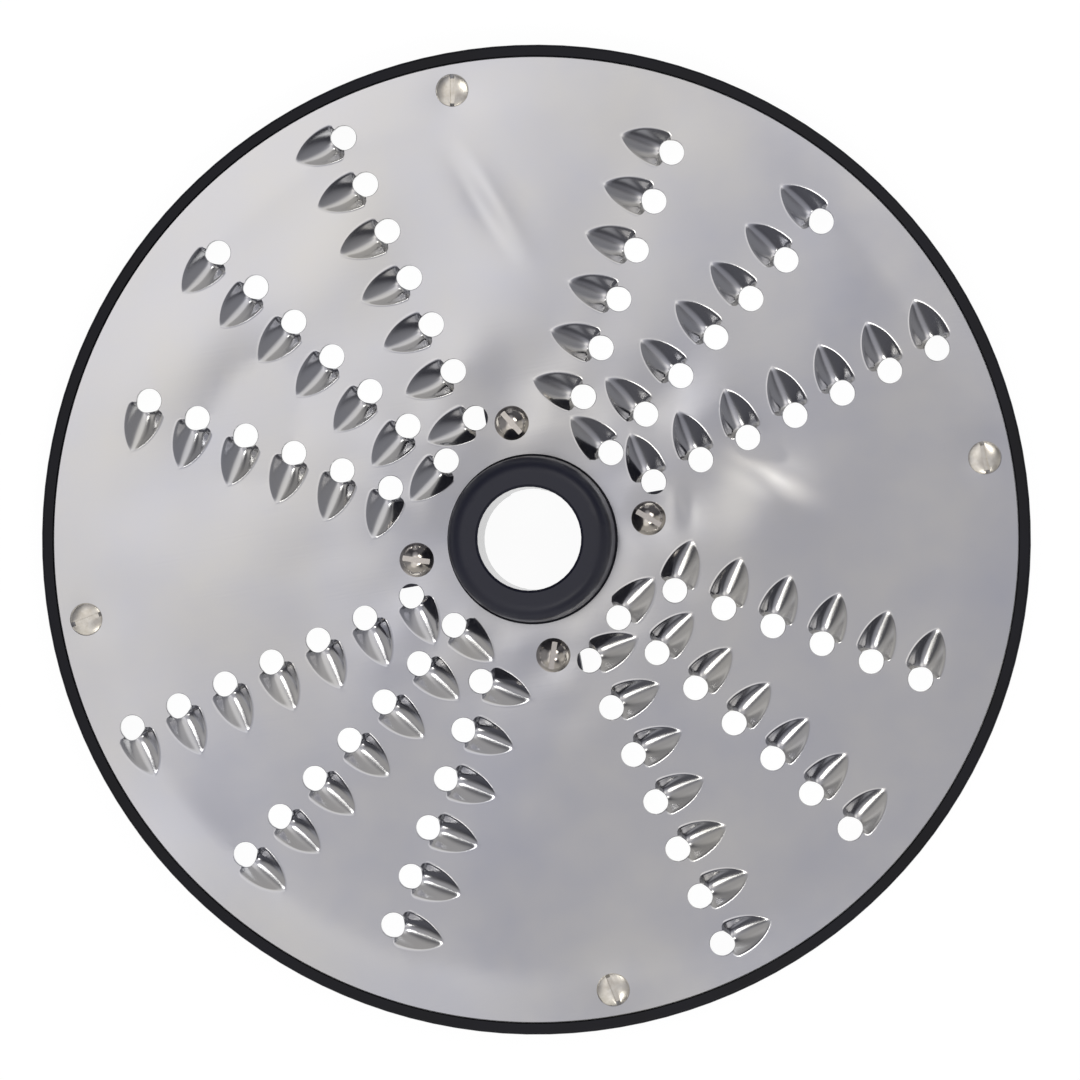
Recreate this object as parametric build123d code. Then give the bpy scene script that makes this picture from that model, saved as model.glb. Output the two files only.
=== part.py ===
from build123d import *
from math import atan2, cos, degrees, radians, sin, tan
import os

os.makedirs("parts", exist_ok=True)

# A shredding disc for a vegetable cutter: a toothed stainless plate, screwed down
# on a black moulded wheel with a tall hub collar. Millimetres and degrees.
# The origin is on the bore's axis at the underside. +Z leaves the toothed face,
# and the spokes start along +X.

# Grating plate
plate_diameter = 200.0
sheet_thickness = 1.0
plate_edge_break = 0.25

# Teeth, in radial rows. One row's place in each sector is left free over a spoke.
rows_per_sector = 3
first_row_angle = 15.0
tooth_pitch = 10.72
outermost_tooth_inset = 8.0
opening_diameter = 5.1
tooth_length = 8.6
tooth_height = 2.4
tooth_radius = 4.3
opening_to_hub_web = 1.0
opening_facets = 12
tooth_facets = 20
scoop_facets = 12

# Moulded wheel
spoke_count = 4
carrier_depth = 8.0
spoke_width = 10.6
spoke_relief = 2.0
window_corner_radius = 4.0
rim_to_opening = 1.7
rim_lip_width = 2.3
rim_lip_drop = 0.2
rim_edge_radius = 1.0
lip_edge_radius = 0.6

# Hub
bore_diameter = 21.0
bore_chamfer = 0.5
collar_wall = 6.8
collar_height = 14.0
collar_draft = 3.0
collar_rounding = 3.2
shoulder_width = 2.7
drive_slot_width = 6.5
drive_slot_depth = 5.0
drive_slot_end_wall = 4.0

# Flat-head screws at the rim
rim_screw_inset = 5.5
rim_thread = 3.5
rim_head_diameter = 6.5
rim_head_land = 0.15
rim_head_drop = 0.05
rim_screw_slot_width = 0.9
rim_screw_slot_depth = 0.8
rim_slot_turns = (92.0, -10.0, 11.0, 12.0)

# Round-head screws beside the hub
hub_screw_offset = 4.4
hub_thread = 4.0
hub_head_diameter = 7.2
hub_head_height = 2.6
hub_screw_slot_width = 1.1
hub_screw_slot_depth = 1.3
hub_slot_turns = (140.0, 32.0, -18.0, -18.0)

# Threaded inserts under the screws
insert_wall = 0.8
insert_floor = 1.2
hub_insert_drop = 0.3
screw_tip_short = 0.5

# Clearances
plate_to_lip = 0.2
plate_to_collar = 0.2
screw_in_plate = 0.2
head_in_countersink = 0.05
thread_in_insert = 0.05
insert_in_pocket = 0.05
cutter_overrun = 2.0

# Sizes that follow
plate_radius = plate_diameter / 2
plate_top = carrier_depth + sheet_thickness
sector_angle = 360 / spoke_count
row_step = sector_angle / (rows_per_sector + 1)
row_stagger = tooth_pitch / rows_per_sector
outermost_tooth_radius = plate_radius - outermost_tooth_inset
bore_radius = bore_diameter / 2
collar_radius = bore_radius + collar_wall
shoulder_radius = collar_radius + shoulder_width
innermost_tooth_radius = shoulder_radius + opening_to_hub_web + opening_diameter / 2
arch_offset = opening_diameter / 2 * cos(radians(180 / opening_facets))
scoop_radius = tooth_radius - sheet_thickness
tooth_slope = atan2(tooth_height, tooth_length)
rim_inner_radius = outermost_tooth_radius + opening_diameter / 2 + rim_to_opening
lip_inner_radius = plate_radius + plate_to_lip
disc_radius = lip_inner_radius + rim_lip_width
lip_top = plate_top - rim_lip_drop
hub_top = plate_top + collar_height
rim_screw_radius = plate_radius - rim_screw_inset
hub_screw_radius = shoulder_radius + hub_screw_offset
rim_head_cone = (rim_head_diameter - rim_thread) / 2
rim_head_top = plate_top - rim_head_drop
rim_insert_top = rim_head_top - rim_head_land - rim_head_cone - thread_in_insert
hub_insert_top = carrier_depth - hub_insert_drop
pocket_bottom = spoke_relief + insert_floor
screw_tip = pocket_bottom + screw_tip_short

STANDING = (Align.CENTER, Align.CENTER, Align.MIN)
HANGING = (Align.CENTER, Align.CENTER, Align.MAX)


def upright_cylinder(radius, bottom, top):
    """Solid cylinder on the disc's axis between two heights."""
    return Pos(0, 0, bottom) * Cylinder(radius, top - bottom, align=STANDING)


def at_spokes(radius):
    """One place over each spoke, at a radius, turned to face outward."""
    places = []
    for spoke in range(spoke_count):
        places.append(Rot(0, 0, spoke * sector_angle) * Pos(radius, 0, 0))
    return places


def insert_radius(thread):
    """Outer radius of the insert that takes a thread."""
    return thread / 2 + thread_in_insert + insert_wall


def insert_pocket(thread):
    """Cutter for the blind hole that an insert sits in."""
    return upright_cylinder(insert_radius(thread) + insert_in_pocket, pocket_bottom, plate_top)


def through_plate(radius):
    """Cutter for a plain round hole through the plate."""
    return upright_cylinder(radius, carrier_depth - cutter_overrun, plate_top + cutter_overrun)


def countersink():
    """Room for a flat screw head: a cone with a short straight mouth."""
    mouth_radius = rim_head_diameter / 2 + head_in_countersink
    cone_top = rim_head_top - rim_head_land
    mouth = upright_cylinder(mouth_radius, cone_top, plate_top + cutter_overrun)
    return mouth + Pos(0, 0, cone_top) * Cone(
        rim_thread / 2 + head_in_countersink, mouth_radius, rim_head_cone, align=HANGING
    )


def sloping_barrel(radius, facets):
    """Many-sided prism along a tooth's back, which falls from the arch to the tip."""
    crown = Vector(0, arch_offset, tooth_height)
    outward = Vector(0, sin(tooth_slope), cos(tooth_slope))
    downhill = Vector(0, cos(tooth_slope), -sin(tooth_slope))
    along_back = Plane(origin=crown - outward * tooth_radius, x_dir=(1, 0, 0), z_dir=downhill)
    section = along_back * RegularPolygon(radius, facets)
    return extrude(section, 2 * tooth_length, both=True)


def tooth_shell():
    """The raised half barrel behind the cutting arch."""
    behind_arch = Pos(0, arch_offset, -sheet_thickness / 2) * Box(
        4 * tooth_radius,
        2 * tooth_length,
        2 * tooth_height,
        align=(Align.CENTER, Align.MIN, Align.MIN),
    )
    return sloping_barrel(tooth_radius, tooth_facets) & behind_arch


def tooth_cutter():
    """The scoop under a tooth's back and the round opening before its arch."""
    below_back = Pos(0, arch_offset, 0) * Box(
        4 * tooth_radius,
        2 * tooth_length,
        4 * (tooth_height + sheet_thickness),
        align=(Align.CENTER, Align.MIN, Align.CENTER),
    )
    scoop = sloping_barrel(scoop_radius, scoop_facets) & below_back
    outline = RegularPolygon(opening_diameter / 2, opening_facets, rotation=180 / opening_facets)
    return scoop + extrude(outline, 2 * (tooth_height + sheet_thickness), both=True)


# Where the teeth stand: each row steps inward from its own outermost tooth
tooth_places = []
for sector in range(spoke_count):
    for row in range(rows_per_sector):
        angle = sector * sector_angle + first_row_angle + row * row_step
        radius = outermost_tooth_radius - row * row_stagger
        while radius >= innermost_tooth_radius:
            tooth_places.append(Rot(0, 0, angle) * Pos(radius, 0, plate_top))
            radius -= tooth_pitch

# Grating plate: the blank with its holes first, then the teeth
grating_plate = upright_cylinder(plate_radius, carrier_depth, plate_top)
upper_edge = grating_plate.edges().group_by(Axis.Z)[-1]
grating_plate = chamfer(upper_edge, plate_edge_break)
grating_plate -= through_plate(collar_radius + plate_to_collar)
screw_hole = through_plate(hub_thread / 2 + screw_in_plate)
grating_plate -= [place * screw_hole for place in at_spokes(hub_screw_radius)]
head_seat = countersink()
grating_plate -= [place * head_seat for place in at_spokes(rim_screw_radius)]
shell = tooth_shell()
cutter = tooth_cutter()
grating_plate += [place * shell for place in tooth_places]
grating_plate -= [place * cutter for place in tooth_places]

# Moulded wheel: rim, spokes and hub in one piece
carrier = upright_cylinder(disc_radius, 0, lip_top)
carrier = fillet(carrier.edges().group_by(Axis.Z)[0], rim_edge_radius)
carrier = fillet(carrier.edges().group_by(Axis.Z)[-1], lip_edge_radius)
carrier -= upright_cylinder(lip_inner_radius, carrier_depth, lip_top + cutter_overrun)
window_ring = Circle(rim_inner_radius) - Circle(shoulder_radius)
for spoke in range(spoke_count):
    bar = Pos(disc_radius / 2, 0) * Rectangle(disc_radius, spoke_width)
    window_ring -= Rot(0, 0, spoke * sector_angle) * bar
windows = fillet(window_ring.vertices(), window_corner_radius)
carrier -= extrude(windows, carrier_depth + cutter_overrun)
carrier -= upright_cylinder(rim_inner_radius, -cutter_overrun, spoke_relief) - upright_cylinder(
    shoulder_radius, -cutter_overrun, spoke_relief
)
collar_rise = hub_top - carrier_depth
collar_top_radius = collar_radius - collar_rise * tan(radians(collar_draft))
collar = Pos(0, 0, carrier_depth) * Cone(
    collar_radius, collar_top_radius, collar_rise, align=STANDING
)
collar = fillet(collar.edges().group_by(Axis.Z)[-1], collar_rounding)
carrier += collar
bore = upright_cylinder(bore_radius, -cutter_overrun, hub_top + cutter_overrun)
bore += Cone(bore_radius + bore_chamfer, bore_radius, bore_chamfer, align=STANDING)
bore += Pos(0, 0, hub_top) * Cone(
    bore_radius, bore_radius + bore_chamfer, bore_chamfer, align=HANGING
)
carrier -= bore
carrier -= Box(
    drive_slot_width,
    2 * (shoulder_radius - drive_slot_end_wall),
    2 * drive_slot_depth,
)
rim_pocket = insert_pocket(rim_thread) + head_seat
hub_pocket = insert_pocket(hub_thread)
carrier -= [place * rim_pocket for place in at_spokes(rim_screw_radius)]
carrier -= [place * hub_pocket for place in at_spokes(hub_screw_radius)]


def threaded_insert(thread, top):
    """Brass bush that lines a screw pocket and takes the thread."""
    bush = upright_cylinder(insert_radius(thread), pocket_bottom, top)
    return bush - upright_cylinder(
        thread / 2 + thread_in_insert, pocket_bottom - cutter_overrun, top + cutter_overrun
    )


def screw_slot(width, depth, span, top):
    """Cutter for a driver slot across a head."""
    return Pos(0, 0, top - depth) * Box(span, width, depth + cutter_overrun, align=STANDING)


def flat_head_screw():
    """Countersunk screw, its head just below the plate's face."""
    land_bottom = rim_head_top - rim_head_land
    screw = upright_cylinder(rim_head_diameter / 2, land_bottom, rim_head_top)
    screw += Pos(0, 0, land_bottom) * Cone(
        rim_thread / 2, rim_head_diameter / 2, rim_head_cone, align=HANGING
    )
    return screw + upright_cylinder(rim_thread / 2, screw_tip, land_bottom - rim_head_cone)


def round_head_screw():
    """Domed screw, its head seated on the plate's face."""
    half_head = hub_head_diameter / 2
    dome_radius = (half_head**2 + hub_head_height**2) / (2 * hub_head_height)
    dome = Pos(0, 0, plate_top + hub_head_height - dome_radius) * Sphere(dome_radius)
    screw = dome & upright_cylinder(hub_head_diameter, plate_top, plate_top + hub_head_diameter)
    return screw + upright_cylinder(hub_thread / 2, screw_tip, plate_top)


# Screws and inserts, each driver slot left at its own angle
rim_screws = []
rim_inserts = []
flat_head = flat_head_screw()
rim_insert = threaded_insert(rim_thread, rim_insert_top)
flat_slot = screw_slot(
    rim_screw_slot_width, rim_screw_slot_depth, 2 * rim_head_diameter, rim_head_top
)
for number, place in enumerate(at_spokes(rim_screw_radius)):
    turn = rim_slot_turns[number % len(rim_slot_turns)]
    rim_screws.append(place * (flat_head - Rot(0, 0, turn) * flat_slot))
    rim_inserts.append(place * rim_insert)

hub_screws = []
hub_inserts = []
round_head = round_head_screw()
hub_insert = threaded_insert(hub_thread, hub_insert_top)
round_slot = screw_slot(
    hub_screw_slot_width,
    hub_screw_slot_depth,
    2 * hub_head_diameter,
    plate_top + hub_head_height,
)
for number, place in enumerate(at_spokes(hub_screw_radius)):
    turn = hub_slot_turns[number % len(hub_slot_turns)]
    hub_screws.append(place * (round_head - Rot(0, 0, turn) * round_slot))
    hub_inserts.append(place * hub_insert)

export_step(carrier, "parts/carrier.step")
export_step(grating_plate, "parts/grating_plate.step")
export_step(Compound(children=rim_screws), "parts/rim_screws.step")
export_step(Compound(children=hub_screws), "parts/hub_screws.step")
export_step(Compound(children=rim_inserts), "parts/rim_inserts.step")
export_step(Compound(children=hub_inserts), "parts/hub_inserts.step")
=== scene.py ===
import math

import bmesh
import bpy
from mathutils import Matrix, Vector, kdtree, noise
from mathutils.geometry import delaunay_2d_cdt


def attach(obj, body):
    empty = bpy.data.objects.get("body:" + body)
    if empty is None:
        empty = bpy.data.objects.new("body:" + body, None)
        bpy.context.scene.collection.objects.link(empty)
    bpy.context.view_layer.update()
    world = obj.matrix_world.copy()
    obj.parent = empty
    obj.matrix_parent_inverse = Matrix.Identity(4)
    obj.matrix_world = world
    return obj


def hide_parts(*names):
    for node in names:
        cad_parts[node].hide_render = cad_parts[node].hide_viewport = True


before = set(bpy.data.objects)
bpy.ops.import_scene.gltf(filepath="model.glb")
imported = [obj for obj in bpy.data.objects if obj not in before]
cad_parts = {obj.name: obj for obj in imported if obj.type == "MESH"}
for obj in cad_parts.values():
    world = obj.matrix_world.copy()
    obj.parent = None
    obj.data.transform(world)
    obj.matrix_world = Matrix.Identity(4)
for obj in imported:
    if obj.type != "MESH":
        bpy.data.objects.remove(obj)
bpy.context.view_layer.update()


# Carrier. The black wheel that all the rest is screwed to: a rim, four spokes and a tall hub collar,
# injection moulded in one piece from glass-filled nylon. Its solid already has the moulded roundings,
# so the CAD piece stays and is given its surface here.

MM = 0.001


def linear(colour, level=1.0):
    """An sRGB hex colour as linear red, green, blue and alpha."""
    parts = [int(colour[i:i + 2], 16) / 255 for i in (1, 3, 5)]
    curve = [p / 12.92 if p <= 0.04045 else ((p + 0.055) / 1.055) ** 2.4 for p in parts]
    return [level * c for c in curve] + [1.0]


def add_node(tree, kind, inputs=None, **settings):
    """Adds a node, sets its options, and gives each named input a value or another node's output."""
    node = tree.nodes.new(kind)
    for option, value in settings.items():
        setattr(node, option, value)
    for name, value in (inputs or {}).items():
        if isinstance(value, bpy.types.NodeSocket):
            tree.links.new(value, node.inputs[name])
        else:
            node.inputs[name].default_value = value
    return node


def new_material(name):
    """An empty material, with the node tree that its surface is built in."""
    material = bpy.data.materials.new(name)
    material.use_nodes = True
    material.node_tree.nodes.clear()
    return material, material.node_tree


def finish_material(tree, surface):
    """Sends the finished surface to the material's output."""
    add_node(tree, "ShaderNodeOutputMaterial", {"Surface": surface})


def dress(node_name, material):
    """Gives a CAD piece a material in place of its plain one."""
    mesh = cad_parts[node_name].data
    mesh.materials.clear()
    mesh.materials.append(material)


# Glass-filled nylon, moulded in a spark-eroded tool: near black, with a fine even grain that spreads
# the highlights, a painted sheen that greys the colour and raises its reflection towards the hub, and rubbed
# smooth in the bore.
# The grain is drawn coarser than it is, so that it shows.
nylon_grain = 0.45 * MM
nylon_flow = 14 * MM
painted_sheen_from = 18 * MM
painted_sheen_to = 60 * MM
bore_radius = 10.5 * MM
moulded_nylon, tree = new_material("moulded_black_nylon")
place = add_node(tree, "ShaderNodeTexCoord").outputs["Object"]
flow = add_node(tree, "ShaderNodeTexNoise", {"Vector": place, "Scale": 1 / nylon_flow, "Detail": 3.0})
grain = add_node(tree, "ShaderNodeTexNoise", {"Vector": place, "Scale": 1 / nylon_grain, "Detail": 2.0})
level = add_node(tree, "ShaderNodeVectorMath", {0: place, 1: (1, 1, 0)}, operation="MULTIPLY")
radius = add_node(tree, "ShaderNodeVectorMath", {0: level.outputs["Vector"]}, operation="LENGTH")
# Painted sheen: towards the hub the colour is made greyer and the specular level higher, for a brighter
# reflection there, fading out between 18 and 60 mm from the middle
hub_painted_sheen = add_node(
    tree,
    "ShaderNodeMapRange",
    {
        "Value": radius.outputs["Value"],
        "From Min": painted_sheen_from,
        "From Max": painted_sheen_to,
        "To Min": 0.5,
        "To Max": 0.0,
    },
)
# The painted sheen lightens the colour towards the hub
tone = add_node(
    tree,
    "ShaderNodeMath",
    {0: flow.outputs["Fac"], 1: 0.5, 2: hub_painted_sheen.outputs["Result"]},
    operation="MULTIPLY_ADD",
)
skin = add_node(tree, "ShaderNodeValToRGB", {"Fac": tone.outputs[0]})
skin.color_ramp.elements[0].position = 0.15
skin.color_ramp.elements[0].color = linear("#08080f")
skin.color_ramp.elements[1].position = 0.9
skin.color_ramp.elements[1].color = linear("#26283a")
gloss = add_node(
    tree,
    "ShaderNodeMapRange",
    {"Value": flow.outputs["Fac"], "From Min": 0.3, "From Max": 0.7, "To Min": 0.36, "To Max": 0.46},
)
rubbed = add_node(
    tree,
    "ShaderNodeMapRange",
    {
        "Value": radius.outputs["Value"],
        "From Min": bore_radius + 0.05 * MM,
        "From Max": bore_radius + 0.3 * MM,
        "To Min": 0.12,
        "To Max": gloss.outputs["Result"],
    },
)
texture = add_node(
    tree,
    "ShaderNodeBump",
    {"Height": grain.outputs["Fac"], "Strength": 0.25, "Distance": 0.02 * MM},
)
# The painted sheen raises the specular level towards the hub
sheen = add_node(
    tree,
    "ShaderNodeMath",
    {0: hub_painted_sheen.outputs["Result"], 1: 0.45, 2: 0.26},
    operation="MULTIPLY_ADD",
)
nylon = add_node(
    tree,
    "ShaderNodeBsdfPrincipled",
    {
        "Base Color": skin.outputs["Color"],
        "Roughness": rubbed.outputs["Result"],
        "Normal": texture.outputs["Normal"],
        "IOR": 1.53,
        "Specular IOR Level": sheen.outputs[0],
    },
)
finish_material(tree, nylon.outputs["BSDF"])
dress("carrier", moulded_nylon)


# Threaded inserts. Eight turned brass bushes, pressed into blind pockets of the carrier, that take the
# screws. They hide under the plate and the screw heads, so the CAD pieces stay as they are.

# Turned brass: yellow, with fine rings from the lathe that draw the highlight out.
turning_pitch = 0.12 * MM
turned_brass, tree = new_material("turned_brass")
place = add_node(tree, "ShaderNodeTexCoord").outputs["Object"]
rings = add_node(
    tree,
    "ShaderNodeTexWave",
    {"Vector": place, "Scale": math.pi / (10 * turning_pitch), "Distortion": 0.4},
    bands_direction="Z",
)
texture = add_node(
    tree,
    "ShaderNodeBump",
    {"Height": rings.outputs["Fac"], "Strength": 0.3, "Distance": 0.01 * MM},
)
brass = add_node(
    tree,
    "ShaderNodeBsdfPrincipled",
    {
        "Base Color": linear("#d8b45e"),
        "Metallic": 1.0,
        "Roughness": 0.28,
        "Normal": texture.outputs["Normal"],
    },
)
finish_material(tree, brass.outputs["BSDF"])
dress("rim_inserts", turned_brass)
dress("hub_inserts", turned_brass)


# Grating plate. One round stainless sheet, 1 mm thick. Its 80 teeth are pierced and pushed up from below
# in the press, which leaves each with an open arch, a sloping back and a soft root where the sheet bends.
# Four screws near the rim and four beside the hub hold it down, and pull it slightly out of flat.

sheet_top = 9.0
sheet_thickness = 1.0
sheet_radius = 100.0
centre_hole_radius = 17.5
spokes = 4
rows_per_sector = 3
first_row_angle = math.radians(15)
row_step = math.radians(22.5)
outermost_tooth = 92.0
innermost_tooth = 23.5
tooth_pitch = 10.72

# One tooth in its own frame, with the middle of its opening at the origin and its tip towards +Y. Its back is
# a rounded ridge that stands nearer the hub side and runs down to the tip, with straight flanks, and a short
# steep slope closes each shoulder in front, beside the opening.
opening_radius = 2.55
edge_break = 0.1
mouth_turn = math.radians(66)
tooth_height = 2.4
tooth_reach = 11.3
crown_level = 0.1
leaf_half_width = 3.95
leaf_widest = 2.9
leaf_taper = 1.8
leaf_point = 0.75
flank_slope = 1.0
front_slope = 2.4
front_round = 0.9
ridge_shift = 0.6
root_fillet = 0.16
arch_reach = 0.4


def leaf_half(y, hole):
    """Half the width of a tooth's outline, which closes on the opening in front and on a point behind."""
    if y >= leaf_widest:
        part = min(1.0, (y - leaf_widest) / (tooth_reach - leaf_widest))
        return leaf_half_width * (1 - part ** leaf_taper) ** leaf_point
    foot, foot_y = hole * math.sin(mouth_turn), hole * math.cos(mouth_turn)
    part = min(1.0, (leaf_widest - y) / (leaf_widest - foot_y))
    return foot + (leaf_half_width - foot) * math.sqrt(1 - part ** 2)


def back_rise(x, half, ridge, drop):
    """Height of a rounded back beside its ridge, where it falls by a height at the outline."""
    radius = (half ** 2 + drop ** 2) / (2 * drop)
    lean = math.atan(flank_slope)
    if drop >= radius or half / (radius - drop) > flank_slope:
        radius = max(0.0, (flank_slope * half - drop) / (flank_slope * math.sin(lean) - 1 + math.cos(lean)))
    rounded = min(abs(x), radius * math.sin(lean))
    return ridge - radius + math.sqrt(radius ** 2 - rounded ** 2) - flank_slope * (abs(x) - rounded)


def front_rise(x, y, hole):
    """Height of the slope that closes a tooth's two shoulders in front, beside the opening."""
    foot, foot_y = hole * math.sin(mouth_turn), hole * math.cos(mouth_turn)
    part = min(1.0, max(0.0, abs(x) - foot) / (leaf_half_width - foot))
    return front_slope * (y - leaf_widest + (leaf_widest - foot_y) * math.sqrt(1 - part ** 2))


def tooth_rise(x, y, hole):
    """Height of a tooth's skin: its leaning back, run into the front slope and softly into the flat sheet."""
    along = max(0.0, (y - hole) / (tooth_reach - hole))
    fall = (math.hypot(along, crown_level) - crown_level) / (math.hypot(1, crown_level) - crown_level)
    ridge = tooth_height - (tooth_height + root_fillet) * fall
    reach = root_fillet * (2 - along)
    half = leaf_half(max(y, leaf_widest), hole)
    if ridge + reach < 0.001 or half < 0.001:
        return 0.0
    leaning = x + ridge_shift * max(0.0, 1 - (x / half) ** 2) * half / leaf_half_width
    back = back_rise(leaning, half, ridge, ridge + reach)
    front = front_rise(x, y, hole) - reach
    meeting = max(0.0, 1 - abs(back - front) / front_round)
    rise = min(back, front) - front_round * meeting ** 2 / 4
    if rise < reach:
        rise = max(0.0, rise + reach) ** 2 / (4 * reach)
    return rise


def tooth_point(hole, along, turn):
    """A point of a tooth's skin, from the opening's edge at 0 along the back to the tip at 1."""
    middle = hole + along * (tooth_reach - hole)
    curl = hole * max(0.0, 1 - along / arch_reach) ** 2
    x = leaf_half(middle - curl * (1 - math.cos(mouth_turn)), hole) * math.sin(turn) / math.sin(mouth_turn)
    y = middle - curl * (1 - math.cos(turn))
    if abs(turn) == mouth_turn:
        return x, y, 0.0
    return x, y, tooth_rise(x, y, hole)


# The rows of points stand closer together near the opening and near the tip
stations = [0, 0.02, 0.045, 0.07, 0.1, 0.14, 0.2, 0.27, 0.35]
stations += [0.44, 0.53, 0.62, 0.71, 0.79, 0.86, 0.92, 0.97, 1]
turns = [mouth_turn * (1 - i / 9) for i in range(19)]


def tooth_skin(hole):
    """Rows of points over a tooth's back, from the opening's edge to the tip."""
    return [[tooth_point(hole, along, turn) for turn in turns] for along in stations]


def mouth_ring(hole):
    """The flat part of the opening's edge, from one foot of the arch around to the other."""
    bend = [mouth_turn + 2 * (math.pi - mouth_turn) * i / 20 for i in range(21)]
    return [(hole * math.sin(a), hole * math.cos(a), 0.0) for a in bend]


def lowered(line, depth):
    """A line of points, moved down."""
    return [(x, y, z - depth) for x, y, z in line]


def tooth_mesh():
    """One tooth with its opening: the sheet's two skins inside its outline, and the cut edge between."""
    bm = bmesh.new()

    def strip(first, second):
        """Faces between two lines of points."""
        corners = [[bm.verts.new(p) for p in line] for line in (first, second)]
        for i in range(len(first) - 1):
            bm.faces.new((corners[0][i], corners[0][i + 1], corners[1][i + 1], corners[1][i]))

    upper = tooth_skin(opening_radius + edge_break)
    lower = [lowered(line, sheet_thickness) for line in tooth_skin(opening_radius)]
    for skin in (upper, lower):
        for first, second in zip(skin, skin[1:]):
            strip(first, second)
    arch = tooth_skin(opening_radius)[0]
    strip(upper[0], lowered(arch, edge_break))
    strip(lowered(arch, edge_break), lower[0])
    ring = mouth_ring(opening_radius)
    strip(mouth_ring(opening_radius + edge_break), lowered(ring, edge_break))
    strip(lowered(ring, edge_break), lowered(ring, sheet_thickness))

    bmesh.ops.remove_doubles(bm, verts=bm.verts, dist=0.001)
    bmesh.ops.dissolve_degenerate(bm, edges=bm.edges, dist=0.0005)
    bmesh.ops.scale(bm, vec=(MM, MM, MM), verts=bm.verts)
    mesh = bpy.data.meshes.new("tooth")
    bm.to_mesh(mesh)
    bm.free()
    return mesh


def tooth_outline(hole):
    """The line around a tooth and its opening in the flat sheet."""
    side = [line[0][:2] for line in reversed(tooth_skin(hole))]
    front = [p[:2] for p in mouth_ring(hole)[1:-1]]
    return side + front + [(-x, y) for x, y in reversed(side[1:])]


def ring_points(x, y, radius, count):
    """Points around a circle, anticlockwise."""
    turns = [2 * math.pi * i / count for i in range(count)]
    return [(x + radius * math.cos(a), y + radius * math.sin(a)) for a in turns]


# Each round edge of the sheet, as the radius and depth of the rings down its wall, and then with its middle
# and the number of points around it
outer_edge = [(sheet_radius - 0.25, 0), (sheet_radius, -0.25)]
outer_edge += [(sheet_radius, -0.9), (sheet_radius - 0.1, -sheet_thickness)]
centre_edge = [(centre_hole_radius + 0.15, 0), (centre_hole_radius, -0.15)]
centre_edge += [(centre_hole_radius, -sheet_thickness)]
countersink = [(3.42, 0), (3.3, -0.14), (2.5, -sheet_thickness)]
hub_screw_hole = [(2.2, 0), (2.2, -sheet_thickness)]
rim_screw_ring = 94.5
hub_screw_ring = 24.4
spoke_angles = [2 * math.pi * i / spokes for i in range(spokes)]
round_edges = [(0, 0, outer_edge, 288), (0, 0, centre_edge, 96)]
for angle in spoke_angles:
    way = (math.cos(angle), math.sin(angle))
    round_edges.append((rim_screw_ring * way[0], rim_screw_ring * way[1], countersink, 40))
    round_edges.append((hub_screw_ring * way[0], hub_screw_ring * way[1], hub_screw_hole, 24))

teeth_in_rows = []
tooth_places = []
for row in range(rows_per_sector):
    start = outermost_tooth - row * tooth_pitch / rows_per_sector
    teeth_in_rows.append(int((start - innermost_tooth) / tooth_pitch) + 1)
    for angle in spoke_angles:
        turn = angle + first_row_angle + row * row_step
        tooth_places += [(start - n * tooth_pitch, turn) for n in range(teeth_in_rows[row])]


def placed(outline, radius, turn):
    """An outline in a tooth's own frame, moved to its place on the sheet."""
    c, s = math.cos(turn), math.sin(turn)
    return [((radius + x) * c - y * s, (radius + x) * s + y * c) for x, y in outline]


# Knocks and the press have left a few kinks in the sheet, each lifted on one side and sunk on the other. The
# net of triangles that makes the flat sheet is finer over the narrow ones.
kinks = [
    # place in x and in y, length, width, height, turn
    (49.4, 5.4, 11.0, 5.5, -0.52, -0.72),
    (3.2, 70.0, 10.0, 2.8, 0.25, -1.2),
    (46.0, 2.0, 10.0, 11.0, -0.55, 0.7),
    (31.5, 0.7, 3.6, 2.4, 0.25, 1.5),
    (36.0, 21.0, 9.0, 8.0, -0.36, 0.84),
    (-56.0, 46.0, 20.0, 13.0, 0.5, 0.84),
    (-35.7, 67.8, 20.0, 12.0, -0.28, 0.84),
    (-2.5, 35.5, 9.0, 8.0, 0.26, 0.84),
]
narrow = 8.0
narrow_kinks = [kink for kink in kinks if kink[3] < narrow]
kink_reach = 1.4


def within(kink, x, y):
    """A place measured along and across a kink, in the kink's own lengths and widths."""
    middle_x, middle_y, length, width, height, turn = kink
    across, up = x - middle_x, y - middle_y
    c, s = math.cos(turn), math.sin(turn)
    return (across * c + up * s) / length, (up * c - across * s) / width


def on_narrow_kink(x, y):
    """Whether a place lies on one of the narrow kinks."""
    return any(max(map(abs, within(kink, x, y))) < kink_reach for kink in narrow_kinks)


# Points of the net: on a grid of triangles, and in two lines beside each tooth
web_spacing = 2.4
fine_spacing = web_spacing / 3
closest = 0.4
apron_lines = (0.3, 0.8)
apron = []
right_side = [line[0][:2] for line in reversed(tooth_skin(opening_radius))]
for (x0, y0), (x1, y1), (x2, y2) in zip(right_side, right_side[1:], right_side[2:]):
    away = Vector((y0 - y2, x2 - x0)).normalized()
    for reach in apron_lines:
        apron += [(side * (x1 + reach * away.x), y1 + reach * away.y) for side in (1, -1)]


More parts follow.
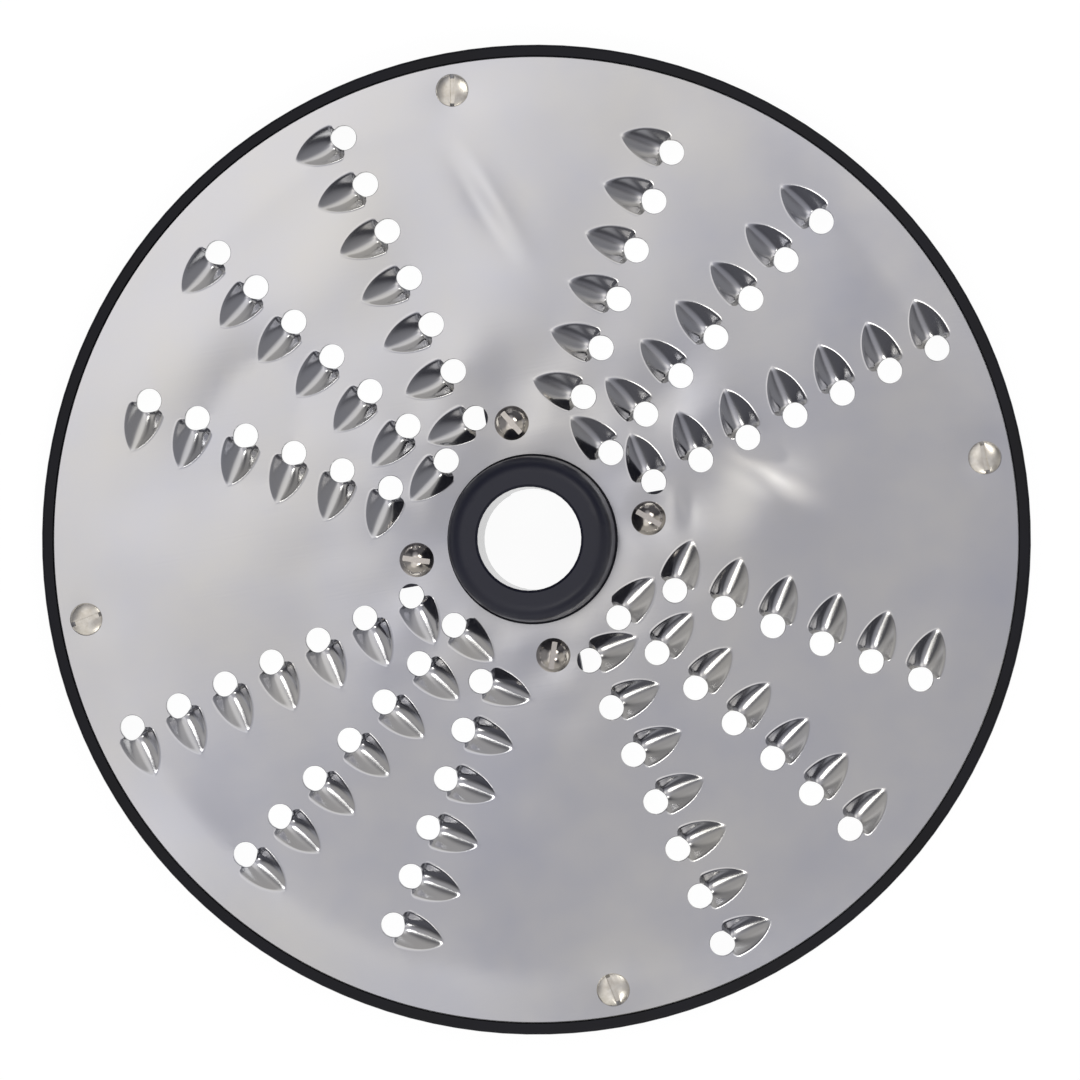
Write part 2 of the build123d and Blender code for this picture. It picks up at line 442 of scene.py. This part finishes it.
def web_faces(bm, outline, ring, depth):
    """One face of the flat sheet between the teeth, as a net of triangles around every hole."""
    loops = [ring_points(x, y, profile[ring][0], count) for x, y, profile, count in round_edges]
    loops += [list(reversed(placed(outline, radius, turn))) for radius, turn in tooth_places]
    points, faces = [], []
    for loop in loops:
        faces.append(list(range(len(points), len(points) + len(loop))))
        points += [Vector(p) for p in loop]
    for radius, turn in tooth_places:
        points += [Vector(p) for p in placed(apron, radius, turn)]
    near = kdtree.KDTree(len(points))
    for i, p in enumerate(points):
        near.insert((p.x, p.y, 0), i)
    near.balance()
    steps = int(1.2 * sheet_radius / fine_spacing)
    for j in range(-steps, steps + 1):
        for i in range(-steps, steps + 1):
            p = Vector(((i + 0.5 * (j % 2)) * fine_spacing, j * fine_spacing * math.sqrt(0.75)))
            if not centre_hole_radius < p.length < sheet_radius:
                continue
            coarse = j % 3 == 0 and i % 3 == j % 2
            kinked = on_narrow_kink(p.x, p.y)
            if coarse or kinked:
                gap = closest * (fine_spacing if kinked else web_spacing)
                if near.find((p.x, p.y, 0))[2] > gap:
                    points.append(p)
    net = delaunay_2d_cdt(points, [], faces, 1, 1e-5)
    found, triangles, was_face = net[0], net[2], net[5]
    corners = {}
    for triangle, sources in zip(triangles, was_face):
        if sources == [0]:
            for i in triangle:
                corners.setdefault(i, None)
    for i in corners:
        corners[i] = bm.verts.new((found[i].x * MM, found[i].y * MM, (sheet_top + depth) * MM))
    for triangle, sources in zip(triangles, was_face):
        if sources == [0]:
            bm.faces.new([corners[i] for i in triangle])


bm = bmesh.new()
web_faces(bm, tooth_outline(opening_radius + edge_break), 0, 0.0)
web_faces(bm, tooth_outline(opening_radius), -1, -sheet_thickness)
for x, y, profile, count in round_edges:
    rings = []
    for radius, depth in profile:
        z = (sheet_top + depth) * MM
        rings.append([bm.verts.new((px * MM, py * MM, z)) for px, py in ring_points(x, y, radius, count)])
    for first, second in zip(rings, rings[1:]):
        for i in range(count):
            bm.faces.new((first[i - 1], first[i], second[i], second[i - 1]))
web_mesh = bpy.data.meshes.new("grating_plate")
bm.to_mesh(web_mesh)
bm.free()
grating_plate = bpy.data.objects.new("stainless_grating_plate", web_mesh)
bpy.context.scene.collection.objects.link(grating_plate)
tooth = bpy.data.objects.new("tooth", tooth_mesh())
bpy.context.scene.collection.objects.link(tooth)

# Stainless sheet, cold rolled and then lightly satin ground: a soft, wide reflection of the light above,
# broken up by fine grinding lines and by faint cloudy stains from washing. The lines are drawn wider than
# they are, so that they show.
grind_width = 0.35 * MM
grind_length = 18 * MM
grind_turn = 0.6
stain_size = 26 * MM
satin_stainless, tree = new_material("satin_ground_stainless")
place = add_node(tree, "ShaderNodeTexCoord").outputs["Object"]
along = add_node(
    tree,
    "ShaderNodeMapping",
    {
        "Vector": place,
        "Rotation": (0, 0, grind_turn),
        "Scale": (1 / grind_length, 1 / grind_width, 1 / grind_length),
    },
)
lines = add_node(tree, "ShaderNodeTexNoise", {"Vector": along.outputs["Vector"], "Scale": 1.0, "Detail": 3.0})
stains = add_node(
    tree,
    "ShaderNodeTexNoise",
    {"Vector": place, "Scale": 1 / stain_size, "Detail": 4.0, "Roughness": 0.55},
)
tint = add_node(tree, "ShaderNodeValToRGB", {"Fac": stains.outputs["Fac"]})
tint.color_ramp.elements[0].position = 0.32
tint.color_ramp.elements[0].color = linear("#cecfd4")
tint.color_ramp.elements[1].position = 0.7
tint.color_ramp.elements[1].color = linear("#d8d7d4")
satin = add_node(
    tree,
    "ShaderNodeMapRange",
    {"Value": stains.outputs["Fac"], "From Min": 0.3, "From Max": 0.7, "To Min": 0.16, "To Max": 0.21},
)
grinding = add_node(
    tree,
    "ShaderNodeBump",
    {"Height": lines.outputs["Fac"], "Strength": 0.15, "Distance": 0.02 * MM},
)
steel = add_node(
    tree,
    "ShaderNodeBsdfPrincipled",
    {
        "Base Color": tint.outputs["Color"],
        "Metallic": 1.0,
        "Roughness": satin.outputs["Result"],
        "Normal": grinding.outputs["Normal"],
    },
)
finish_material(tree, steel.outputs["BSDF"])

# The teeth stand in radial rows, a third of a pitch further in from row to row, over each sector
rows_tree = bpy.data.node_groups.new("teeth_in_rows", "GeometryNodeTree")
rows_tree.is_modifier = True


def add_inputs(tree, kinds):
    """Makes a tree's named inputs and its one output, and returns the inputs' sockets."""
    for name, kind in kinds.items():
        tree.interface.new_socket(name, in_out="INPUT", socket_type="NodeSocket" + kind)
    tree.interface.new_socket("Geometry", in_out="OUTPUT", socket_type="NodeSocketGeometry")
    return tree.nodes.new("NodeGroupInput").outputs


def plain_mesh(piece):
    """Keeps what a piece's modifiers make of it as its own mesh, and takes the modifiers off."""
    made = bpy.data.meshes.new_from_object(piece.evaluated_get(bpy.context.evaluated_depsgraph_get()))
    piece.modifiers.clear()
    piece.data = made


def bake(piece, tree, values):
    """Runs a tree on a piece with the values of its inputs, and keeps the result."""
    modifier = piece.modifiers.new(tree.name, "NODES")
    modifier.node_group = tree
    for item in tree.interface.items_tree:
        if item.name in values:
            modifier[item.identifier] = values[item.name]
    plain_mesh(piece)


size = add_inputs(
    rows_tree,
    {
        "Sheet": "Geometry",
        "Tooth": "Object",
        "Sheet top": "Float",
        "Outermost tooth": "Float",
        "Tooth pitch": "Float",
        "First row angle": "Float",
        "Row step": "Float",
        "Sectors": "Int",
        "Steel": "Material",
    },
)
tooth_shape = add_node(rows_tree, "GeometryNodeObjectInfo", {"Object": size["Tooth"]}).outputs["Geometry"]
inward = add_node(rows_tree, "ShaderNodeMath", {0: size["Tooth pitch"], 1: -1.0}, operation="MULTIPLY")
step = add_node(rows_tree, "ShaderNodeCombineXYZ", {"X": inward.outputs[0]})
sector = add_node(rows_tree, "GeometryNodeJoinGeometry")
for row, count in enumerate(teeth_in_rows):
    radius = add_node(
        rows_tree,
        "ShaderNodeMath",
        {0: inward.outputs[0], 1: row / rows_per_sector, 2: size["Outermost tooth"]},
        operation="MULTIPLY_ADD",
    )
    start = add_node(rows_tree, "ShaderNodeCombineXYZ", {"X": radius.outputs[0], "Z": size["Sheet top"]})
    line = add_node(
        rows_tree,
        "GeometryNodeMeshLine",
        {"Count": count, "Start Location": start.outputs[0], "Offset": step.outputs[0]},
    )
    teeth = add_node(
        rows_tree,
        "GeometryNodeInstanceOnPoints",
        {"Points": line.outputs["Mesh"], "Instance": tooth_shape},
    )
    angle = add_node(
        rows_tree,
        "ShaderNodeMath",
        {0: size["Row step"], 1: float(row), 2: size["First row angle"]},
        operation="MULTIPLY_ADD",
    )
    turn = add_node(rows_tree, "ShaderNodeCombineXYZ", {"Z": angle.outputs[0]})
    turned = add_node(
        rows_tree,
        "GeometryNodeTransform",
        {"Geometry": teeth.outputs["Instances"], "Rotation": turn.outputs[0]},
    )
    rows_tree.links.new(turned.outputs["Geometry"], sector.inputs["Geometry"])
one_sector = add_node(rows_tree, "GeometryNodeGeometryToInstance", {"Geometry": sector.outputs["Geometry"]})
centres = add_node(rows_tree, "GeometryNodeMeshLine", {"Count": size["Sectors"], "Offset": (0, 0, 0)})
index = add_node(rows_tree, "GeometryNodeInputIndex")
share = add_node(rows_tree, "ShaderNodeMath", {0: 2 * math.pi, 1: size["Sectors"]}, operation="DIVIDE")
angle = add_node(
    rows_tree,
    "ShaderNodeMath",
    {0: index.outputs[0], 1: share.outputs[0]},
    operation="MULTIPLY",
)
turn = add_node(rows_tree, "ShaderNodeCombineXYZ", {"Z": angle.outputs[0]})
sectors = add_node(
    rows_tree,
    "GeometryNodeInstanceOnPoints",
    {"Points": centres.outputs["Mesh"], "Instance": one_sector.outputs[0], "Rotation": turn.outputs[0]},
)
sheet = add_node(rows_tree, "GeometryNodeJoinGeometry", {"Geometry": size["Sheet"]})
rows_tree.links.new(sectors.outputs["Instances"], sheet.inputs["Geometry"])
pressed = add_node(rows_tree, "GeometryNodeRealizeInstances", {"Geometry": sheet.outputs["Geometry"]})
joined = add_node(
    rows_tree,
    "GeometryNodeMergeByDistance",
    {"Geometry": pressed.outputs["Geometry"], "Distance": 0.004 * MM},
)
finished = add_node(
    rows_tree,
    "GeometryNodeSetMaterial",
    {"Geometry": joined.outputs["Geometry"], "Material": size["Steel"]},
)
add_node(rows_tree, "NodeGroupOutput", {"Geometry": finished.outputs["Geometry"]})
bake(
    grating_plate,
    rows_tree,
    {
        "Tooth": tooth,
        "Sheet top": sheet_top * MM,
        "Outermost tooth": outermost_tooth * MM,
        "Tooth pitch": tooth_pitch * MM,
        "First row angle": first_row_angle,
        "Row step": row_step,
        "Sectors": spokes,
        "Steel": satin_stainless,
    },
)
bpy.data.objects.remove(tooth)

# What the press, the screws and use have done to the flat sheet: it stands a little off the wheel in long
# shallow waves and puckers around the hub, and the screws and the hub hold it down
rest_lift = 0.34
wave_height = 0.4
wave_span = 36.0
wave_seed = (3.1, -1.7, 0.4)
ripple_height = 0.05
ripple_span = 14.0
ripple_seed = (0, 0, 5.3)
pucker_height = 0.2
pucker_span = 9.0
pucker_seed = (7.7, 2.2, 1.6)
pucker_reach = 42.0
kink_swing = 1.6
edge_hold = 12.0
edge_freedom = 0.15
hub_hold = 3.5
screw_hold = 5.0


def uneven(x, y, span, seed):
    """Smooth noise from about -1 to 1, with humps about as wide as a span."""
    return noise.noise(Vector((x / span + seed[0], y / span + seed[1], seed[2])))


def out_of_flat(x, y):
    """How far the sheet stands above its flat state, in millimetres."""
    radius = math.hypot(x, y)
    wave = wave_height * uneven(x, y, wave_span, wave_seed)
    wave += ripple_height * uneven(x, y, ripple_span, ripple_seed)
    pucker = pucker_height * uneven(x, y, pucker_span, pucker_seed)
    wave += pucker * math.exp(-((radius / pucker_reach) ** 4))
    height = rest_lift + wave
    for kink in kinks:
        u, v = within(kink, x, y)
        height += kink_swing * kink[4] * v * math.exp(-u ** 2 - v ** 2)
    height *= min(1.0, max(0.0, (sheet_radius - radius) / edge_hold) + edge_freedom)
    height *= 1 - math.exp(-(((radius - centre_hole_radius) / hub_hold) ** 2))
    for angle in spoke_angles:
        for ring in (rim_screw_ring, hub_screw_ring):
            away = math.hypot(x - ring * math.cos(angle), y - ring * math.sin(angle))
            height *= 1 - math.exp(-((away / screw_hold) ** 2))
    return max(0.0, height)


def crease(bm, angle):
    """Smooth faces, with hard edges where the surface turns by more than an angle."""
    for face in bm.faces:
        face.smooth = True
    for edge in bm.edges:
        edge.smooth = len(edge.link_faces) == 2 and edge.calc_face_angle() < angle


bm = bmesh.new()
bm.from_mesh(grating_plate.data)
bmesh.ops.recalc_face_normals(bm, faces=bm.faces)
for vert in bm.verts:
    vert.co.z += MM * out_of_flat(vert.co.x / MM, vert.co.y / MM)
crease(bm, math.radians(40))
bm.to_mesh(grating_plate.data)
bm.free()
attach(grating_plate, "root")
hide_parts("grating_plate")


# Rim screws. Four slotted countersunk machine screws of plated steel, driven flush through the plate
# into the rim end of each spoke. Turned heads with a broken edge and a sawn slot.

screw_tip = 3.7


def lathe(profile, count):
    """A closed turned shape from the radius and height of its outline, from the axis out and back."""
    bm = bmesh.new()
    rings = []
    for radius, height in profile:
        if radius == 0:
            rings.append([bm.verts.new((0, 0, height * MM))])
        else:
            places = ring_points(0, 0, radius, count)
            rings.append([bm.verts.new((x * MM, y * MM, height * MM)) for x, y in places])
    for first, second in zip(rings, rings[1:]):
        for i in range(count):
            pair = [(line[(i - 1) % len(line)], line[i % len(line)]) for line in (first, second)]
            corners = [pair[0][0], pair[0][1], pair[1][1], pair[1][0]]
            bm.faces.new(list(dict.fromkeys(corners)))
    bmesh.ops.recalc_face_normals(bm, faces=bm.faces)
    mesh = bpy.data.meshes.new("turned")
    bm.to_mesh(mesh)
    bm.free()
    return mesh


def slotted(profile, count, slot_width, slot_depth, burr):
    """A turned screw with a sawn slot across its head, its edges broken."""
    top = max(height for radius, height in profile)
    reach = 2 * max(radius for radius, height in profile)
    bm = bmesh.new()
    bmesh.ops.create_cube(bm, size=1.0)
    bmesh.ops.scale(bm, vec=(2 * reach * MM, slot_width * MM, 2 * slot_depth * MM), verts=bm.verts)
    bmesh.ops.translate(bm, vec=(0, 0, top * MM), verts=bm.verts)
    saw_mesh = bpy.data.meshes.new("saw")
    bm.to_mesh(saw_mesh)
    bm.free()
    saw = bpy.data.objects.new("saw", saw_mesh)
    screw = bpy.data.objects.new("screw", lathe(profile, count))
    for thing in (saw, screw):
        bpy.context.scene.collection.objects.link(thing)
    cut = screw.modifiers.new("slot", "BOOLEAN")
    cut.object = saw
    cut.solver = "EXACT"
    broken = screw.modifiers.new("edges", "BEVEL")
    broken.width = burr * MM
    broken.segments = 2
    broken.limit_method = "ANGLE"
    broken.angle_limit = math.radians(50)
    plain_mesh(screw)
    bpy.data.objects.remove(saw)
    return screw


screws_tree = bpy.data.node_groups.new("screws_on_spokes", "GeometryNodeTree")
screws_tree.is_modifier = True
size = add_inputs(screws_tree, {"Places": "Geometry", "Screw": "Object", "Metal": "Material"})
shape = add_node(screws_tree, "GeometryNodeObjectInfo", {"Object": size["Screw"]}).outputs["Geometry"]
turned_by = add_node(screws_tree, "GeometryNodeInputNamedAttribute", {"Name": "slot_turn"}, data_type="FLOAT")
turn = add_node(screws_tree, "ShaderNodeCombineXYZ", {"Z": turned_by.outputs["Attribute"]})
screws = add_node(
    screws_tree,
    "GeometryNodeInstanceOnPoints",
    {"Points": size["Places"], "Instance": shape, "Rotation": turn.outputs[0]},
)
driven = add_node(screws_tree, "GeometryNodeRealizeInstances", {"Geometry": screws.outputs["Instances"]})
finished = add_node(
    screws_tree,
    "GeometryNodeSetMaterial",
    {"Geometry": driven.outputs["Geometry"], "Material": size["Metal"]},
)
add_node(screws_tree, "NodeGroupOutput", {"Geometry": finished.outputs["Geometry"]})


def screw_group(name, screw, ring, slot_turns, metal):
    """Sets one screw over each spoke, with its slot left at its own angle."""
    places = bpy.data.meshes.new(name)
    spots = [(ring * math.cos(a) * MM, ring * math.sin(a) * MM, 0) for a in spoke_angles]
    places.from_pydata(spots, [], [])
    turns = places.attributes.new("slot_turn", "FLOAT", "POINT")
    for i, angle in enumerate(spoke_angles):
        turns.data[i].value = angle + math.radians(slot_turns[i])
    group = bpy.data.objects.new(name, places)
    bpy.context.scene.collection.objects.link(group)
    bake(group, screws_tree, {"Screw": screw, "Metal": metal})
    bpy.data.objects.remove(screw)
    bm = bmesh.new()
    bm.from_mesh(group.data)
    bmesh.ops.remove_doubles(bm, verts=bm.verts, dist=0.003 * MM)
    bmesh.ops.dissolve_degenerate(bm, edges=bm.edges, dist=0.001 * MM)
    crease(bm, math.radians(35))
    bm.to_mesh(group.data)
    bm.free()
    return group


# Nickel-plated steel, turned and dull from washing: pale and slightly warm, brighter than the sheet
# around it, with a fine cloudy skin that blurs what it reflects.
cloud_size = 1.2 * MM
dull_nickel, tree = new_material("dull_nickel_plate")
place = add_node(tree, "ShaderNodeTexCoord").outputs["Object"]
cloud = add_node(tree, "ShaderNodeTexNoise", {"Vector": place, "Scale": 1 / cloud_size, "Detail": 3.0})
tone = add_node(tree, "ShaderNodeValToRGB", {"Fac": cloud.outputs["Fac"]})
tone.color_ramp.elements[0].position = 0.3
tone.color_ramp.elements[0].color = linear("#d6d0c4")
tone.color_ramp.elements[1].position = 0.7
tone.color_ramp.elements[1].color = linear("#e8e4da")
texture = add_node(
    tree,
    "ShaderNodeBump",
    {"Height": cloud.outputs["Fac"], "Strength": 0.2, "Distance": 0.03 * MM},
)
nickel = add_node(
    tree,
    "ShaderNodeBsdfPrincipled",
    {
        "Base Color": tone.outputs["Color"],
        "Metallic": 1.0,
        "Roughness": 0.26,
        "Normal": texture.outputs["Normal"],
    },
)
finish_material(tree, nickel.outputs["BSDF"])

flat_shank = 1.75
flat_radius = 3.25
flat_top = sheet_top - 0.05
cone_top = flat_top - 0.15
flat_head = [(0, screw_tip), (flat_shank, screw_tip)]
flat_head += [(flat_shank, cone_top - (flat_radius - flat_shank)), (flat_radius, cone_top)]
flat_head += [(flat_radius, cone_top + 0.06), (flat_radius - 0.13, flat_top), (0, flat_top)]
rim_screws = screw_group(
    "slotted_rim_screws",
    slotted(flat_head, 64, slot_width=0.9, slot_depth=0.8, burr=0.04),
    ring=rim_screw_ring,
    slot_turns=(92, -10, 11, 12),
    metal=dull_nickel,
)
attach(rim_screws, "root")
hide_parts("rim_screws")


# Hub screws. Four slotted round-head machine screws of stainless steel, one beside the hub at the inner
# end of each spoke. Their domed heads are cold formed and polished, with a sawn slot.

round_shank = 2.0
head_radius = 3.6
head_height = 2.6
dome_radius = (head_radius ** 2 + head_height ** 2) / (2 * head_height)
dome_centre = sheet_top + head_height - dome_radius

# Polished stainless: a mirror of the room, dark where it faces away from the light, with a slightly
# uneven skin that bends the reflections.
skin_size = 1.6 * MM
polished_stainless, tree = new_material("polished_stainless")
place = add_node(tree, "ShaderNodeTexCoord").outputs["Object"]
skin = add_node(tree, "ShaderNodeTexNoise", {"Vector": place, "Scale": 1 / skin_size, "Detail": 2.0})
texture = add_node(
    tree,
    "ShaderNodeBump",
    {"Height": skin.outputs["Fac"], "Strength": 0.25, "Distance": 0.06 * MM},
)
polish = add_node(
    tree,
    "ShaderNodeBsdfPrincipled",
    {
        "Base Color": linear("#d9d3ca"),
        "Metallic": 1.0,
        "Roughness": 0.14,
        "Normal": texture.outputs["Normal"],
    },
)
finish_material(tree, polish.outputs["BSDF"])

base_angle = math.asin(head_radius / dome_radius)
dome = [base_angle * (1 - i / 14) for i in range(14)]
round_head = [(0, screw_tip), (round_shank, screw_tip)]
round_head += [(round_shank, sheet_top), (head_radius - 0.1, sheet_top)]
round_head += [(dome_radius * math.sin(a), dome_centre + dome_radius * math.cos(a)) for a in dome]
round_head += [(0, sheet_top + head_height)]
hub_screws = screw_group(
    "slotted_hub_screws",
    slotted(round_head, 72, slot_width=1.1, slot_depth=1.3, burr=0.05),
    ring=hub_screw_ring,
    slot_turns=(140, 32, -18, -18),
    metal=polished_stainless,
)
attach(hub_screws, "root")
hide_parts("hub_screws")


# Floor. A plain white table that the disc lies on. It shows as white to the camera and in the metal, keeps
# a trace of the disc's shadow, and is clear from below, so that the underside can be seen.

floor_radius = 60.0
bm = bmesh.new()
bmesh.ops.create_circle(bm, cap_ends=True, radius=floor_radius, segments=96)
floor_mesh = bpy.data.meshes.new("floor")
bm.to_mesh(floor_mesh)
bm.free()
floor = bpy.data.objects.new("floor", floor_mesh)
bpy.context.scene.collection.objects.link(floor)
white_table, tree = new_material("white_table")
rays = add_node(tree, "ShaderNodeLightPath").outputs
seen = add_node(
    tree,
    "ShaderNodeMath",
    {0: rays["Is Camera Ray"], 1: rays["Is Glossy Ray"]},
    operation="MAXIMUM",
)
seen = add_node(
    tree,
    "ShaderNodeMath",
    {0: seen.outputs[0], 1: rays["Is Transmission Ray"]},
    operation="MAXIMUM",
)
paint = add_node(
    tree,
    "ShaderNodeMix",
    {0: seen.outputs[0], 6: linear("#e6e6e6"), 7: linear("#606060")},
    data_type="RGBA",
)
matt = add_node(tree, "ShaderNodeBsdfDiffuse", {"Color": paint.outputs[2]})
glow = add_node(tree, "ShaderNodeMath", {0: seen.outputs[0], 1: 0.95}, operation="MULTIPLY")
shine = add_node(tree, "ShaderNodeEmission", {"Strength": glow.outputs[0]})
both = add_node(tree, "ShaderNodeAddShader", {0: matt.outputs[0], 1: shine.outputs[0]})
clear = add_node(tree, "ShaderNodeBsdfTransparent")
below = add_node(tree, "ShaderNodeNewGeometry").outputs["Backfacing"]
table = add_node(tree, "ShaderNodeMixShader", {0: below, 1: both.outputs[0], 2: clear.outputs[0]})
finish_material(tree, table.outputs[0])
floor_mesh.materials.append(white_table)


# Light. A soft overhead glow that is strongest to the upper left, and two small soft boxes, at the upper and
# the lower right, that draw the white lines along the teeth. A paler wall stands low on the near side of the
# picture and the far side is dark but for two low panels, as on a small copy stand.

photo_turn = math.radians(10.17)


def towards(azimuth, from_top):
    """Direction of a light, by its angle around the picture from the right and its angle from overhead."""
    a, p = math.radians(azimuth) - photo_turn, math.radians(from_top)
    return Vector((math.sin(p) * math.cos(a), math.sin(p) * math.sin(a), math.cos(p)))


studio = bpy.data.worlds.new("studio")
bpy.context.scene.world = studio
studio.use_nodes = True
tree = studio.node_tree
tree.nodes.clear()
way = add_node(tree, "ShaderNodeTexCoord").outputs["Generated"]
room = None
glows = [
    # azimuth, angle from overhead, half width where it is full, where it ends, colour, strength
    (0, 0, 14, 42, "#f6f5fb", 0.49),
    (138, 17, 0, 18, "#fffbf5", 0.62),
    (240, 34, 8, 26, "#f8f6f4", 0.55),
    (255, 74, 22, 50, "#f6f3ee", 0.42),
    (348, 56, 12, 30, "#f6f3ee", 0.42),
    (320, 86, 14, 40, "#f6f3ee", 0.25),
    (100, 78, 6, 15, "#f4f4fa", 0.3),
    (10, 78, 6, 15, "#f4f4fa", 0.3),
    (65, 76, 0, 44, "#f0f0fa", 0.06),
    (185, 62, 5, 50, "#f2f2f8", 0.22),
    (104, 36, 0, 22, "#f0f0fa", 0.3),
    (49, 23, 3, 15, "#fff8ee", 0.38),
    (205, 19, 0, 9, "#fffaf2", 0.35),
]
for azimuth, from_top, full, ends, colour, strength in glows:
    facing = add_node(
        tree,
        "ShaderNodeVectorMath",
        {0: way, 1: towards(azimuth, from_top)},
        operation="DOT_PRODUCT",
    )
    fade = add_node(
        tree,
        "ShaderNodeMapRange",
        {
            "Value": facing.outputs["Value"],
            "From Min": math.cos(math.radians(ends)),
            "From Max": math.cos(math.radians(full)),
        },
        interpolation_type="SMOOTHSTEP",
    )
    room = add_node(
        tree,
        "ShaderNodeMix",
        {
            0: fade.outputs["Result"],
            6: room.outputs[2] if room else linear("#404046"),
            7: linear(colour, strength),
        },
        data_type="RGBA",
        blend_type="ADD",
    )
# Past the edge of the floor, and from below, the camera sees plain white
direct = add_node(tree, "ShaderNodeLightPath").outputs["Is Camera Ray"]
shown = add_node(
    tree,
    "ShaderNodeMix",
    {0: direct, 6: room.outputs[2], 7: linear("#ffffff")},
    data_type="RGBA",
)
backdrop = add_node(tree, "ShaderNodeBackground", {"Color": shown.outputs[2]})
add_node(tree, "ShaderNodeOutputWorld", {"Surface": backdrop.outputs[0]})


def soft_box(name, azimuth, from_top, distance, width, height, radiance, colour):
    """A rectangular soft light that faces the disc and sends out a given radiance."""
    lamp = bpy.data.lights.new(name, "AREA")
    lamp.shape = "RECTANGLE"
    lamp.size = width
    lamp.size_y = height
    lamp.color = linear(colour)[:3]
    lamp.energy = radiance * math.pi * width * height
    box = bpy.data.objects.new(name, lamp)
    bpy.context.scene.collection.objects.link(box)
    back = towards(azimuth, from_top)
    box.matrix_world = Matrix.Translation(back * distance) @ back.to_track_quat("Z", "Y").to_matrix().to_4x4()


warm_white = "#fffdf8"
soft_box("far_box", 49, 31, distance=1.0, width=0.36, height=0.18, radiance=3.6, colour=warm_white)
soft_box("near_box", 296, 30, distance=1.0, width=0.34, height=0.12, radiance=5.5, colour=warm_white)


# Camera. Above the disc, looking down through a long lens from a little to the right of its axis, so that the
# collar stands over a little more of the plate on its left.

picture_middle = (1.497, -0.459)
camera_rise = 0.6
lean_x = math.radians(2.5)
lean_y = math.radians(-0.8)
film_width = 36.0
picture_pixels = 1080
lens_pixels = 2904.8
aim = Vector((*picture_middle, sheet_top)) * MM
eye = aim + camera_rise * Vector((math.tan(lean_x), math.tan(lean_y), 1.0))
ahead = (aim - eye).normalized()
right = ahead.cross(Vector((math.sin(photo_turn), math.cos(photo_turn), 0))).normalized()
up = right.cross(ahead)
camera = bpy.data.objects.new("camera", bpy.data.cameras.new("camera"))
bpy.context.scene.collection.objects.link(camera)
camera.data.sensor_width = film_width
camera.data.lens = film_width * lens_pixels / picture_pixels
camera.matrix_world = Matrix((
    (right.x, up.x, -ahead.x, eye.x),
    (right.y, up.y, -ahead.y, eye.y),
    (right.z, up.z, -ahead.z, eye.z),
    (0, 0, 0, 1),
))
bpy.context.scene.camera = camera
bpy.context.scene.view_settings.view_transform = "Standard"
